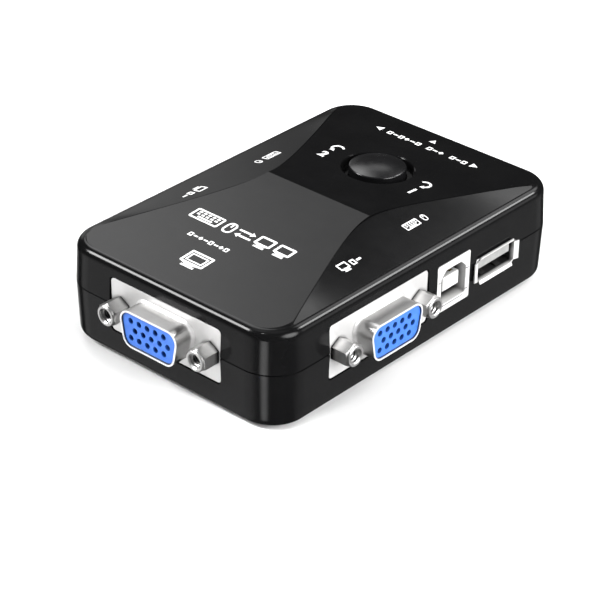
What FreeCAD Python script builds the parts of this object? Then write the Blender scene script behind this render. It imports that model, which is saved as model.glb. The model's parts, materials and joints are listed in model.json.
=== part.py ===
import FreeCAD, Part
import math
import os

# Two-computer VGA and USB switch box.
# Everything is modelled in the case frame: X across the case, Y from the console end (-Y) to the
# rear end, Z up from the case underside, origin at the middle of the case. The export moves it so
# that the feet stand on Z = 0 and the middle of the whole object is at X = Y = 0. Millimetres.

V = FreeCAD.Vector

# Case
HALF_W = 30.4          # half width at the parting line, where the case is widest
HALF_L = 45.9          # half length at the parting line
CORNER_R = 8.5         # plan radius of the corners
WALL = 2.0             # wall and roof thickness
PARTING_Z = 12.7       # joint between the two shells
RIM_Z = 22.2           # height of the roof's outer edge
RIDGE_Z = 25.4         # height of the ridge across the roof
RIDGE_Y = 0.5          # place of the ridge
DRAFT = 0.5            # how far each wall leans in between the parting line and its end
EDGE_R = 2.0           # rounding of the top and bottom edges
SEAM = 0.3             # width and depth of the groove at the parting line
LIP_H = 1.2            # height of the bottom shell's locating lip
LIP_GAP = 0.1          # clearance round the lip

# Roof: two facets meet at the ridge, and a side facet on each side starts at a curved crease
CROWN_HALF_W = 28.1    # outline of the raised roof at the rim
CROWN_HALF_L = 43.7
CROWN_R = 6.2
CROWN_ROOT = 0.5       # depth of the crown's foot below the rim
SKIRT_SLOPE = 0.6      # steepest slope of the crown at its outline
CREASE_MID = 10.7      # the crease is the hyperbola x = MID + hypot(SPREAD * y, ROUND)
CREASE_ROUND = 3.6
CREASE_SPREAD = 0.43
SIDE_SLOPE = 0.208     # slope of the side facets at the ridge
SIDE_RISE = 0.33       # added slope at 40 mm from the ridge
CREASE_W = 0.22        # groove along the crease
CREASE_DEPTH = 0.25

# Board
BOARD_TOP = 6.4
BOARD_T = 1.6
BOARD_HALF_W = 27.2
BOARD_HALF_L = 42.6
HOLE_GAP = 0.1         # clearance of a lead or post in its board hole

# Ports: outward direction in degrees from +X, and place across that face
PORT_X = 29.96         # outer face of the connector plates on the two sides
PORT_Y = 45.46         # the same on the two ends
VGA_Z = 12.5
VGA_ALONG = -14.5
USB_B_Z = 12.2
USB_B_ALONG = 9.15
USB_A_Z = 11.5
USB_A_ALONG = 23.1
VGA_PORTS = (("front", -90, 0.0), ("right", 0, VGA_ALONG), ("left", 180, VGA_ALONG))
USB_B_PORTS = (("right", 0, USB_B_ALONG), ("left", 180, USB_B_ALONG))
USB_A_PORTS = (("rear", 90, 0.0), ("right", 0, USB_A_ALONG), ("left", 180, USB_A_ALONG))

# 15-way VGA socket
FLANGE_HALF_W = 15.4
FLANGE_HALF_H = 6.25
FLANGE_T = 0.8
D_HALF_W = 7.62        # half width of the D sleeve at mid height
D_HALF_H = 4.2
D_R = 2.5
D_LEAN = math.radians(10)
D_REACH = 4.9          # sleeve length in front of the flange
SHEET = 0.4
POST_SPREAD = 24.99    # distance between the jack posts
POST_FLATS = 4.7
POST_REACH = 4.6
POST_NOSE_R = 2.3      # the post's round end
POST_NOSE = 0.5        # length of the round end
POST_CONE = 0.3        # length over which the hexagon is turned down to it
POST_THREAD_R = 1.42   # number 4-40 thread
PIN_PITCH = 2.29
PIN_ROW = 1.98
PIN_HOLE_R = 0.68
PIN_MOUTH = 1.2        # where the wide part of a contact hole starts, in front of the flange
PIN_R = 0.35
TAIL_HALF = 0.26       # half width of a contact's square lead
STUB_R = 1.5           # threaded end of a jack post behind the flange
STUB_HOLE_R = 1.6
VGA_BODY_HALF_W = 9.6  # insulator behind the flange
VGA_BODY_BACK = 8.6
BRACKET_HALF_W = 2.6
BRACKET_T = 1.1

# USB-B socket
B_HALF_W = 5.4
B_HALF_H = 5.65
B_DEPTH = 15.5
B_PROUD = 0.3          # how far the front stands out of the connector plane
B_MOUTH_HALF_W = 4.1
B_MOUTH_HALF_H = 3.95
B_MOUTH_CUT = 1.6      # cut-off upper corners of the mouth
B_TONGUE_HALF_W = 2.6
B_TONGUE_HALF_H = 1.6
B_CONTACT_Y = 1.25

# USB-A socket
A_HALF_W = 6.55
A_HALF_H = 2.85
A_DEPTH = 13.5
A_PROUD = 0.45         # how far the mouth stands out of the connector plane
A_LIP = 0.35           # forward reach of the flared lips
A_SIDE_SPREAD = 2.8    # outward lean of the lips at the sides, as a multiple of their reach
A_LEVEL_SPREAD = 1.1   # the same at the top and bottom
A_TONGUE = 0.3         # how far the tongue ends behind the mouth
A_SHEET = 0.3
A_CONTACTS_Y = (-3.5, -1.0, 1.0, 3.5)
A_SPRINGS_Y = (-2.6, 2.6)
PLATE_GAP = 0.15       # clearance between a connector and its opening

# Push button
BUTTON_Y = 20.0
CAP_R = 6.25
CAP_GAP = 0.22
WELL_R = 8.0
WELL_CHAMFER = 0.2
WELL_Z = 22.1          # floor of the well round the button
WELL_FLOOR = 1.5
CAP_PROUD = 0.55       # cap edge above the roof
CAP_CROWN = 0.75       # rise of the cap's domed top
CAP_TILT = 0.5         # slope of the cap's top, as a part of the roof's slope
CAP_FLANGE_R = 7.3
CAP_ROOF = 23.0        # underside of the cap's top
STEM_R = 2.7
TRAVEL = 1.5
SWITCH_HALF = 4.25
SWITCH_TOP = 13.4
SWITCH_LEGS_Y = (-2.5, 0.0, 2.5)
LEG_X = SWITCH_HALF + 0.35
PLUNGER_HALF = 1.6
PLUNGER_LOW = 10.0
PLUNGER_TOP = 17.8
SPRING_R = 3.65
SPRING_WIRE_R = 0.28
SPRING_TURNS = 8

# Screws and feet
SCREW_X = 23.0
SCREW_Y = 38.0
SCREW_SEAT = 2.6       # height of the screw seats above the underside
FOOT_X = 21.0
FOOT_Y = 29.0
FOOT_R = 4.0
FOOT_DROP = 0.8        # how far the feet stand below the case
FOOT_POCKET = 0.5

# Parts on the board
LEAD_DROP = 0.8        # how far the leads stand out under the board
STAND = 0.02           # clearance between the board and what stands on it
LEAD_HALF_W = 0.13
CAN_R = 2.5
CAN_H = 5.8
CAN_X = 9.0
CANS_Y = (5.0, 12.0)
VIDEO_CHIP_X = 11.5
VIDEO_CHIP_Y = -13.5
CONTROL_CHIP_Y = -8.0
CRYSTAL_Y = 4.0
RESISTOR_PITCH_X = 2.4
RESISTOR_PITCH_Y = 2.2
RESISTOR_Y = -23.5

FRONT_REACH = PORT_Y + D_REACH
REAR_REACH = PORT_Y + A_PROUD + A_LIP + A_SHEET
TO_ROW = V(0, (FRONT_REACH - REAR_REACH) / 2, FOOT_DROP)


# ---- shape helpers ----

def box(x0, x1, y0, y1, z0, z1):
    return Part.makeBox(x1 - x0, y1 - y0, z1 - z0, V(x0, y0, z0))


def cylinder(radius, start, end):
    axis = end - start
    return Part.makeCylinder(radius, axis.Length, start, axis)


def rounded_polygon(corners, radius):
    """Closed wire round a flat convex polygon, with an arc of the radius at each corner."""
    arcs = []
    for i, corner in enumerate(corners):
        before = (corners[i - 1] - corner).normalize()
        after = (corners[(i + 1) % len(corners)] - corner).normalize()
        half = before.getAngle(after) / 2
        start = corner + before * (radius / math.tan(half))
        end = corner + after * (radius / math.tan(half))
        middle = corner + (before + after).normalize() * (radius / math.sin(half) - radius)
        arcs.append((start, middle, end))
    edges = []
    for i, (start, middle, end) in enumerate(arcs):
        edges.append(Part.Arc(start, middle, end).toShape())
        edges.append(Part.makeLine(end, arcs[(i + 1) % len(arcs)][0]))
    return Part.Wire(edges)


def plan_outline(half_w, half_l, radius, z):
    corners = [V(-half_w, -half_l, z), V(half_w, -half_l, z), V(half_w, half_l, z), V(-half_w, half_l, z)]
    return rounded_polygon(corners, radius)


def face_outline(half_w, half_h, radius, x, z):
    """Rounded rectangle in a plane that faces +X."""
    corners = [V(x, -half_w, z - half_h), V(x, half_w, z - half_h), V(x, half_w, z + half_h),
               V(x, -half_w, z + half_h)]
    return rounded_polygon(corners, radius)


def pad(wire, along):
    return Part.Face(wire).extrude(along)


def loft(wires, ruled=True):
    return Part.makeLoft(wires, True, ruled)


def fused(shapes):
    return shapes[0].multiFuse(shapes[1:]).removeSplitter() if len(shapes) > 1 else shapes[0]


def corner_points(x, y):
    return [(sx * x, sy * y) for sx in (1, -1) for sy in (1, -1)]


# ---- case outside ----

def wall_block(inset, z, height):
    """Rounded block from the parting plane to a height above or below it, leaning in as the walls do."""
    outline = plan_outline(HALF_W - inset, HALF_L - inset, CORNER_R - inset, z)
    lean = inset + DRAFT
    end = plan_outline(HALF_W - lean, HALF_L - lean, CORNER_R - lean, z + height)
    return loft([outline, end])


def ridge_height(y):
    fall = (RIDGE_Z - RIM_Z) / (CROWN_HALF_L + RIDGE_Y)
    return RIDGE_Z - fall * abs(y - RIDGE_Y)


def crease_x(y):
    return CREASE_MID + math.hypot(CREASE_SPREAD * (y - RIDGE_Y), CREASE_ROUND)


def side_slope(y):
    return SIDE_SLOPE + SIDE_RISE * ((y - RIDGE_Y) / 40) ** 6


def side_height(x, y):
    return RIM_Z + side_slope(y) * (CROWN_HALF_W - x)


def crease_stations(reach, count):
    return [RIDGE_Y - reach + 2 * reach * i / (count - 1) for i in range(count)]


def side_cutter(side, drop):
    """Space above a side facet, outside the crease."""
    sections = []
    for y in crease_stations(46, 24):
        inner = crease_x(y)
        outer = CROWN_HALF_W + 5
        start = V(side * inner, y, side_height(inner, y) - drop)
        end = V(side * outer, y, side_height(outer, y) - drop)
        sections.append(Part.makePolygon([
            start, end, V(side * outer, y, RIDGE_Z + 8), V(side * inner, y, RIDGE_Z + 8), start]))
    return loft(sections, False)


def crease_blade(side):
    """Thin curved blade that cuts the groove along a crease."""
    sections = []
    for y in crease_stations(40, 21):
        inner = crease_x(y) - CREASE_W / 2
        outer = crease_x(y) + CREASE_W / 2
        floor = side_height(outer, y) - CREASE_DEPTH
        sections.append(Part.makePolygon([
            V(side * inner, y, floor), V(side * outer, y, floor), V(side * outer, y, RIDGE_Z + 2),
            V(side * inner, y, RIDGE_Z + 2), V(side * inner, y, floor)]))
    return loft(sections, False)


def crown(inset, drop):
    """Raised roof: a ridge across the case, a facet each side of it and a side facet along each side."""
    grow = CROWN_ROOT / SKIRT_SLOPE
    rise = RIDGE_Z - RIM_Z + 0.2
    foot = plan_outline(CROWN_HALF_W - inset + grow, CROWN_HALF_L - inset + grow,
                        CROWN_R + grow, RIM_Z - CROWN_ROOT - drop)
    shrink = rise / SKIRT_SLOPE
    head = plan_outline(CROWN_HALF_W - inset - shrink, CROWN_HALF_L - inset - shrink,
                        CROWN_R - shrink, RIM_Z + rise - drop)
    end = HALF_L + 5
    gable = [V(-HALF_W, -end, RIM_Z - CROWN_ROOT - drop), V(-HALF_W, end, RIM_Z - CROWN_ROOT - drop),
             V(-HALF_W, end, ridge_height(end) - drop), V(-HALF_W, RIDGE_Y, RIDGE_Z - drop),
             V(-HALF_W, -end, ridge_height(-end) - drop)]
    shape = loft([foot, head]).common(pad(Part.makePolygon(gable + [gable[0]]), V(2 * HALF_W, 0, 0)))
    for side in (1, -1):
        shape = shape.cut(side_cutter(side, drop))
    return shape


def rounded_edges(block, z):
    """Round the edges of a block that lie in the plane at height z."""
    rim = [e for e in block.Edges if abs(e.BoundBox.ZMin - z) < 0.01 and abs(e.BoundBox.ZMax - z) < 0.01]
    return block.makeFillet(EDGE_R, rim)


def seam_ring():
    low = PARTING_Z - SEAM / 2
    outside = pad(plan_outline(HALF_W + 1, HALF_L + 1, CORNER_R + 1, low), V(0, 0, SEAM))
    inside = pad(plan_outline(HALF_W - SEAM, HALF_L - SEAM, CORNER_R - SEAM, low), V(0, 0, SEAM))
    return outside.cut(inside)


def ring_wall(outer_inset, inner_inset, z0, z1):
    outer = plan_outline(HALF_W - outer_inset, HALF_L - outer_inset, CORNER_R - outer_inset, z0)
    inner = plan_outline(HALF_W - inner_inset, HALF_L - inner_inset, CORNER_R - inner_inset, z0)
    return pad(outer, V(0, 0, z1 - z0)).cut(pad(inner, V(0, 0, z1 - z0)))


# ---- port openings ----

def place(shape, angle, along):
    """Turn a connector from the +X face to another face and move it to its place across that face."""
    out = shape.copy()
    plane = PORT_X if angle in (0, 180) else PORT_Y
    out.translate(V(plane, 0, 0))
    out.rotate(V(0, 0, 0), V(0, 0, 1), angle)
    out.translate(V(0, along, 0) if angle in (0, 180) else V(along, 0, 0))
    return out


def opening(half_w, half_h, radius, z, depth):
    outline = face_outline(half_w + PLATE_GAP, half_h + PLATE_GAP, radius, -depth, z)
    return pad(outline, V(depth + 4, 0, 0))


def port_openings():
    cuts = []
    for _, angle, along in VGA_PORTS:
        cuts.append(place(opening(FLANGE_HALF_W, FLANGE_HALF_H, 1.0, VGA_Z, 5), angle, along))
    for _, angle, along in USB_B_PORTS:
        cuts.append(place(opening(B_HALF_W, B_HALF_H, 0.5, USB_B_Z, 5), angle, along))
    for _, angle, along in USB_A_PORTS:
        cuts.append(place(opening(A_HALF_W, A_HALF_H, 0.5, USB_A_Z, 5), angle, along))
    return cuts


# ---- case shells ----

def top_shell():
    outside = rounded_edges(wall_block(0, PARTING_Z, RIM_Z - PARTING_Z), RIM_Z)
    roof = crown(0, 0)
    for side in (1, -1):
        roof = roof.cut(crease_blade(side))
    inside = wall_block(WALL, PARTING_Z, RIM_Z - WALL - PARTING_Z).fuse(crown(WALL, WALL))
    shell = outside.fuse(roof).cut(inside)
    well = cylinder(WELL_R + 1.6, V(0, BUTTON_Y, WELL_Z - WELL_FLOOR), V(0, BUTTON_Y, RIM_Z + 0.5))
    screw_places = corner_points(SCREW_X, SCREW_Y)
    posts = [cylinder(3.4, V(x, y, BOARD_TOP), V(x, y, RIM_Z - 1)) for x, y in screw_places]
    shell = shell.fuse([well] + posts)
    normal = roof_normal(1)
    rim = V(0, BUTTON_Y, ridge_height(BUTTON_Y)) - normal * 2 * WELL_CHAMFER
    flare = Part.makeCone(WELL_R - WELL_CHAMFER, WELL_R + 2 * WELL_CHAMFER, 3 * WELL_CHAMFER, rim, normal)
    cuts = [cylinder(WELL_R, V(0, BUTTON_Y, WELL_Z), V(0, BUTTON_Y, RIDGE_Z + 3)),
            cylinder(CAP_R + CAP_GAP, V(0, BUTTON_Y, WELL_Z - WELL_FLOOR - 1), V(0, BUTTON_Y, RIDGE_Z)),
            flare,
            seam_ring(),
            ring_wall(WALL / 2 + 0.1 - LIP_GAP, WALL + 0.5, PARTING_Z - 1, PARTING_Z + LIP_H + LIP_GAP)]
    cuts += [cylinder(1.35, V(x, y, BOARD_TOP - 1), V(x, y, 15.5)) for x, y in screw_places]
    return shell.cut(cuts + port_openings()).removeSplitter()


def bottom_shell():
    outside = rounded_edges(wall_block(0, PARTING_Z, -PARTING_Z), 0)
    inside = wall_block(WALL, PARTING_Z, WALL - PARTING_Z)
    lip = ring_wall(WALL / 2 + 0.1, WALL, PARTING_Z - 1, PARTING_Z + LIP_H)
    floor = BOARD_TOP - BOARD_T
    bosses = [cylinder(4.3, V(x, y, WALL / 2), V(x, y, floor)) for x, y in corner_points(SCREW_X, SCREW_Y)]
    ribs = [box(-14, 14, y - 0.6, y + 0.6, WALL / 2, floor) for y in (-12, 12)]
    shell = outside.cut(inside).fuse([lip] + bosses + ribs)
    cuts = [seam_ring(), box(-15, 15, -22, 22, -1, 0.25)]
    for x, y in corner_points(SCREW_X, SCREW_Y):
        cuts.append(cylinder(3.0, V(x, y, -1), V(x, y, SCREW_SEAT)))
        cuts.append(cylinder(1.5, V(x, y, 0), V(x, y, floor + 1)))
    for x, y in corner_points(FOOT_X, FOOT_Y):
        cuts.append(cylinder(FOOT_R + 0.1, V(x, y, -1), V(x, y, FOOT_POCKET)))
    return shell.cut(cuts + port_openings()).removeSplitter()


def case_screws():
    screws = []
    for x, y in corner_points(SCREW_X, SCREW_Y):
        head = cylinder(2.6, V(x, y, SCREW_SEAT - 1.7), V(x, y, SCREW_SEAT))
        low = [e for e in head.Edges if e.BoundBox.ZMax < SCREW_SEAT - 1.6 and len(e.Vertexes) == 1]
        head = head.makeFillet(0.7, low)
        shank = cylinder(1.3, V(x, y, SCREW_SEAT), V(x, y, 14))
        tip = Part.makeCone(1.3, 0.4, 1.2, V(x, y, 14), V(0, 0, 1))
        cross = [box(x - 1.3, x + 1.3, y - 0.3, y + 0.3, 0, SCREW_SEAT - 0.7),
                 box(x - 0.3, x + 0.3, y - 1.3, y + 1.3, 0, SCREW_SEAT - 0.7)]
        screws.append(fused([head, shank, tip]).cut(cross))
    return Part.makeCompound(screws)


def rubber_feet():
    feet = []
    for x, y in corner_points(FOOT_X, FOOT_Y):
        foot = cylinder(FOOT_R, V(x, y, -FOOT_DROP), V(x, y, FOOT_POCKET))
        low = [e for e in foot.Edges if e.BoundBox.ZMax < 0 and len(e.Vertexes) == 1]
        feet.append(foot.makeFillet(0.3, low))
    return Part.makeCompound(feet)


# ---- VGA socket, facing +X with its flange face at X = 0 ----

def d_outline(grow, x):
    """D-shaped outline, wider at the top, grown outwards by a distance."""
    half_h = D_HALF_H + grow
    middle = D_HALF_W + grow / math.cos(D_LEAN)
    lean = half_h * math.tan(D_LEAN)
    corners = [V(x, -(middle - lean), VGA_Z - half_h), V(x, middle - lean, VGA_Z - half_h),
               V(x, middle + lean, VGA_Z + half_h), V(x, -(middle + lean), VGA_Z + half_h)]
    return rounded_polygon(corners, D_R + grow)


def pin_places():
    """Row number, lateral place and height of the fifteen contacts."""
    places = []
    for row in range(3):
        shift = PIN_PITCH / 4 if row == 1 else -PIN_PITCH / 4
        for i in range(5):
            places.append((row, (i - 2) * PIN_PITCH + shift, VGA_Z + (1 - row) * PIN_ROW))
    return places


def tail_x(row):
    """Distance behind the flange of a contact row's leads."""
    return -9.6 - 2.0 * row


def vga_shell():
    flange = pad(face_outline(FLANGE_HALF_W, FLANGE_HALF_H, 1.0, -FLANGE_T, VGA_Z), V(FLANGE_T, 0, 0))
    flange = flange.makeFillet(0.25, [e for e in flange.Edges if e.BoundBox.XMin > -0.01])
    sleeve = pad(d_outline(0, -FLANGE_T), V(FLANGE_T + D_REACH, 0, 0))
    flare = loft([d_outline(0.55, -0.1), d_outline(0.35, 0.2), d_outline(0.12, 0.42), d_outline(0, 0.6)])
    cuts = [pad(d_outline(-SHEET, -FLANGE_T - 1), V(D_REACH + 3, 0, 0))]
    for side in (1, -1):
        y = side * POST_SPREAD / 2
        cuts.append(cylinder(STUB_HOLE_R, V(-2, y, VGA_Z), V(1, y, VGA_Z)))
    return fused([flange, sleeve, flare]).cut(cuts)


def vga_insert():
    """Front insulator inside the sleeve, with a wide mouth in front of each contact."""
    body = pad(d_outline(-SHEET - 0.05, -FLANGE_T), V(D_REACH - 0.35 + FLANGE_T, 0, 0))
    holes = []
    for _, y, z in pin_places():
        holes.append(cylinder(PIN_HOLE_R, V(PIN_MOUTH, y, z), V(D_REACH + 1, y, z)))
        holes.append(cylinder(PIN_R + 0.05, V(-FLANGE_T - 1, y, z), V(PIN_MOUTH + 0.5, y, z)))
    return body.cut(holes)


def vga_base():
    """Insulator behind the flange, which stands on the board."""
    body = box(-VGA_BODY_BACK, -FLANGE_T - 0.05, -VGA_BODY_HALF_W, VGA_BODY_HALF_W,
               BOARD_TOP + STAND, VGA_Z + 5.4)
    holes = [cylinder(PIN_R + 0.05, V(-VGA_BODY_BACK - 1, y, z), V(0, y, z)) for _, y, z in pin_places()]
    return body.cut(holes)


def vga_contacts():
    pins = []
    for row, y, z in pin_places():
        back = tail_x(row)
        pin = cylinder(PIN_R, V(back, y, z), V(PIN_MOUTH + 0.6, y, z))
        tail = box(back - TAIL_HALF, back + TAIL_HALF, y - TAIL_HALF, y + TAIL_HALF,
                   BOARD_TOP - BOARD_T - LEAD_DROP, z + TAIL_HALF)
        pins.append(fused([pin, tail]))
    return Part.makeCompound(pins)


def hexagon(across_flats, x, y, z):
    """Closed hexagon in a plane that faces +X, with a corner at the top."""
    radius = across_flats / math.sqrt(3)
    corners = []
    for i in range(7):
        turn = math.radians(60 * i)
        corners.append(V(x, y + radius * math.sin(turn), z + radius * math.cos(turn)))
    return Part.makePolygon(corners)


def vga_posts():
    """Hexagonal posts with a turned front end, a tapped hole in front and a threaded stub behind."""
    posts = []
    corner_r = POST_FLATS / math.sqrt(3) + 0.01
    nose = POST_REACH - POST_NOSE
    turned = [(0, 0), (0, corner_r), (nose - POST_CONE, corner_r), (nose, POST_NOSE_R),
              (POST_REACH - 0.15, POST_NOSE_R), (POST_REACH, POST_NOSE_R - 0.15), (POST_REACH, 0), (0, 0)]
    chamfer = 0.3
    for side in (1, -1):
        y = side * POST_SPREAD / 2
        profile = Part.Face(Part.makePolygon([V(x, y + r, VGA_Z) for x, r in turned]))
        post = pad(hexagon(POST_FLATS, STAND, y, VGA_Z), V(POST_REACH - STAND, 0, 0))
        post = post.common(profile.revolve(V(0, y, VGA_Z), V(1, 0, 0), 360))
        stub = cylinder(STUB_R, V(-2.6, y, VGA_Z), V(0.1, y, VGA_Z))
        bore = cylinder(POST_THREAD_R, V(0.4, y, VGA_Z), V(POST_REACH + 1, y, VGA_Z))
        mouth = Part.makeCone(POST_THREAD_R, POST_THREAD_R + chamfer, chamfer,
                              V(POST_REACH - chamfer, y, VGA_Z), V(1, 0, 0))
        posts.append(post.fuse(stub).cut([bore, mouth]))
    return Part.makeCompound(posts)


def vga_brackets():
    """Angle bracket behind each end of the flange, which holds a jack post and stands on the board."""
    brackets = []
    for side in (1, -1):
        y = side * POST_SPREAD / 2
        low = y - BRACKET_HALF_W
        high = y + BRACKET_HALF_W
        front = -FLANGE_T - 0.05
        plate = box(front - BRACKET_T, front, low, high, BOARD_TOP + STAND, VGA_Z + 4)
        foot = box(-6.5, front - BRACKET_T / 2, low, high, BOARD_TOP + STAND, BOARD_TOP + BRACKET_T)
        hole = cylinder(STUB_HOLE_R, V(-3, y, VGA_Z), V(0, y, VGA_Z))
        brackets.append(fused([plate, foot]).cut(hole))
    return Part.makeCompound(brackets)


# ---- USB-B socket, facing +X ----

def house_outline(half_w, half_h, cut, radius, x):
    """Square outline with its two upper corners cut off."""
    corners = [V(x, -half_w, USB_B_Z - half_h), V(x, half_w, USB_B_Z - half_h),
               V(x, half_w, USB_B_Z + half_h - cut), V(x, half_w - cut, USB_B_Z + half_h),
               V(x, -half_w + cut, USB_B_Z + half_h), V(x, -half_w, USB_B_Z + half_h - cut)]
    return rounded_polygon(corners, radius)


def usb_b_shell():
    outer = pad(face_outline(B_HALF_W, B_HALF_H, 0.5, B_PROUD - B_DEPTH, USB_B_Z), V(B_DEPTH, 0, 0))
    inner = pad(face_outline(B_HALF_W - SHEET, B_HALF_H - SHEET, 0.3, B_PROUD - B_DEPTH - 1, USB_B_Z),
                V(B_DEPTH + 1 - SHEET, 0, 0))
    mouth = pad(house_outline(B_MOUTH_HALF_W, B_MOUTH_HALF_H, B_MOUTH_CUT, 0.4, -3), V(5, 0, 0))
    floor = B_PROUD - 0.18
    slots = [box(floor, B_PROUD + 1, -3.4, 3.4, USB_B_Z - 4.52, USB_B_Z - 4.36)]
    for y in (-4.55, 4.55):
        for z in (USB_B_Z - 3.3, USB_B_Z + 1.6):
            slots.append(box(floor, B_PROUD + 1, y - 0.5, y + 0.5, z - 0.09, z + 0.09))
    return outer.cut([inner, mouth] + slots)


def usb_b_core():
    """Insulating block with the square tongue that carries the four contacts."""
    body = pad(face_outline(B_HALF_W - SHEET - 0.05, B_HALF_H - SHEET - 0.05, 0.25, -B_DEPTH + 0.5, USB_B_Z),
               V(B_DEPTH - 0.7, 0, 0))
    room = pad(house_outline(B_MOUTH_HALF_W + 0.1, B_MOUTH_HALF_H + 0.1, B_MOUTH_CUT, 0.4, -9), V(12, 0, 0))
    tongue = box(-9.5, -0.3, -B_TONGUE_HALF_W, B_TONGUE_HALF_W,
                 USB_B_Z - B_TONGUE_HALF_H, USB_B_Z + B_TONGUE_HALF_H)
    tongue = tongue.makeChamfer(0.3, [e for e in tongue.Edges if e.BoundBox.XMin > -0.4])
    slots = []
    for side in (1, -1):
        for y in (-B_CONTACT_Y, B_CONTACT_Y):
            z = USB_B_Z + side * (B_TONGUE_HALF_H - 0.1)
            slots.append(box(-16, -1.4, y - 0.55, y + 0.55, z - 0.25, z + 0.25))
    return fused([body.cut(room), tongue]).cut(slots)


def usb_b_contacts():
    strips = []
    for side, back in ((1, -B_DEPTH - 2.2), (-1, -B_DEPTH - 0.6)):
        for y in (-B_CONTACT_Y, B_CONTACT_Y):
            z = USB_B_Z + side * (B_TONGUE_HALF_H - 0.1)
            strip = box(back, -1.6, y - 0.5, y + 0.5, z - 0.2, z + 0.15)
            tail = box(back, back + 0.5, y - 0.3, y + 0.3, BOARD_TOP - BOARD_T - LEAD_DROP, z + 0.15)
            strips.append(fused([strip, tail]))
    return Part.makeCompound(strips)


# ---- USB-A socket, facing +X ----

def usb_a_shell():
    outer = pad(face_outline(A_HALF_W, A_HALF_H, 0.45, A_PROUD - A_DEPTH, USB_A_Z), V(A_DEPTH, 0, 0))
    inner = pad(face_outline(A_HALF_W - A_SHEET, A_HALF_H - A_SHEET, 0.3, A_PROUD - A_DEPTH - 1, USB_A_Z),
                V(A_DEPTH + 2, 0, 0))
    lips = []
    for side in (1, -1):
        lips.append(lip_plate(V(A_PROUD, 0, USB_A_Z + side * A_HALF_H), V(0, 1, 0),
                               V(0, 0, side * A_LEVEL_SPREAD), 5.6))
        lips.append(lip_plate(V(A_PROUD, side * A_HALF_W, USB_A_Z), V(0, 0, 1),
                               V(0, side * A_SIDE_SPREAD, 0), 2.2))
    floor = USB_A_Z - A_HALF_H
    springs = [loft([blade_section(-6.5, y, floor + 0.2), blade_section(-3.2, y, floor + 1.1),
                     blade_section(-0.6, y, floor + 0.45)]) for y in A_SPRINGS_Y]
    return fused([outer.cut(inner)] + lips + springs)


def lip_plate(root, along, lean, half_len):
    """Flared lip: a strip that leans outwards in front of the mouth, by a vector for each unit of reach."""
    outward = V(lean).normalize()
    flare = V(A_LIP, 0, 0) + lean * A_LIP
    sheet = V(A_SHEET, 0, 0)
    sections = []
    for end in (-half_len, half_len):
        outer = root + along * end
        inner = outer - outward * A_SHEET
        tip = outer + flare
        sections.append(Part.makePolygon([inner, outer, tip, tip + sheet, inner + sheet, inner]))
    return loft(sections)


def blade_section(x, y, z):
    low = z - 0.12
    high = z + 0.12
    return Part.makePolygon([V(x, y - 0.8, low), V(x, y + 0.8, low), V(x, y + 0.8, high), V(x, y - 0.8, high),
                             V(x, y - 0.8, low)])


def usb_a_core():
    """Insulating block behind the mouth, its tongue, and the foot that raises it off the board."""
    shell_back = A_PROUD - A_DEPTH
    block = box(shell_back - 0.5, -9.0, -6.15, 6.15, USB_A_Z - 2.45, USB_A_Z + 2.45)
    tongue = box(-9.5, A_PROUD - A_TONGUE, -5.5, 5.5, USB_A_Z + 0.15, USB_A_Z + 1.95)
    upright = [e for e in tongue.Edges if e.BoundBox.XMin > -1.0 and e.BoundBox.YLength < 0.1]
    tongue = tongue.makeFillet(0.5, upright)
    foot = box(shell_back - 0.5, -3.4, -5.6, 5.6, BOARD_TOP + STAND, USB_A_Z - A_HALF_H - 0.03)
    heel = box(shell_back - 1.5, shell_back - 0.05, -5.6, 5.6, BOARD_TOP + STAND, USB_A_Z + 2.0)
    slots = [box(-A_DEPTH - 2, -0.6, y - 0.55, y + 0.55, USB_A_Z + 0.05, USB_A_Z + 0.45)
             for y in A_CONTACTS_Y]
    return fused([block, tongue, foot, heel]).cut(slots)


def usb_a_contacts():
    strips = []
    back = -A_DEPTH - 1.8
    for y in A_CONTACTS_Y:
        strip = box(back, -0.8, y - 0.5, y + 0.5, USB_A_Z + 0.1, USB_A_Z + 0.38)
        tail = box(back, back + 0.4, y - 0.3, y + 0.3, BOARD_TOP - BOARD_T - LEAD_DROP, USB_A_Z + 0.38)
        strips.append(fused([strip, tail]))
    return Part.makeCompound(strips)


# ---- push button and its switch ----

def roof_normal(part):
    """Direction square to the rear roof facet, or to a plane with only a part of its slope."""
    fall = ridge_height(BUTTON_Y) - ridge_height(BUTTON_Y + 1)
    return V(0, part * fall, 1).normalize()


def button_cap():
    """Round cap with a slightly domed top and a stem for the switch."""
    normal = roof_normal(CAP_TILT)
    top = V(0, BUTTON_Y, ridge_height(BUTTON_Y) + CAP_PROUD + CAP_CROWN)
    dome_r = (CAP_R ** 2 + CAP_CROWN ** 2) / (2 * CAP_CROWN)
    low = WELL_Z - WELL_FLOOR - 1.2
    body = cylinder(CAP_R, V(0, BUTTON_Y, low), V(0, BUTTON_Y, RIDGE_Z + 4))
    body = body.common(Part.makeSphere(dome_r, top - normal * dome_r))
    rim = [e for e in body.Edges if e.BoundBox.ZMin > WELL_Z and e.Length > CAP_R]
    body = body.makeFillet(0.35, rim)
    flange = cylinder(CAP_FLANGE_R, V(0, BUTTON_Y, low), V(0, BUTTON_Y, low + 1))
    hollow = cylinder(CAP_R - 1.2, V(0, BUTTON_Y, low - 1), V(0, BUTTON_Y, CAP_ROOF))
    stem = cylinder(STEM_R, V(0, BUTTON_Y, PLUNGER_TOP - 1.6), V(0, BUTTON_Y, CAP_ROOF + 0.5))
    half = PLUNGER_HALF + 0.05
    socket = box(-half, half, BUTTON_Y - half, BUTTON_Y + half, PLUNGER_TOP - 3, PLUNGER_TOP + 0.2)
    return body.fuse(flange).cut(hollow).fuse(stem).cut(socket).removeSplitter()


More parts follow.
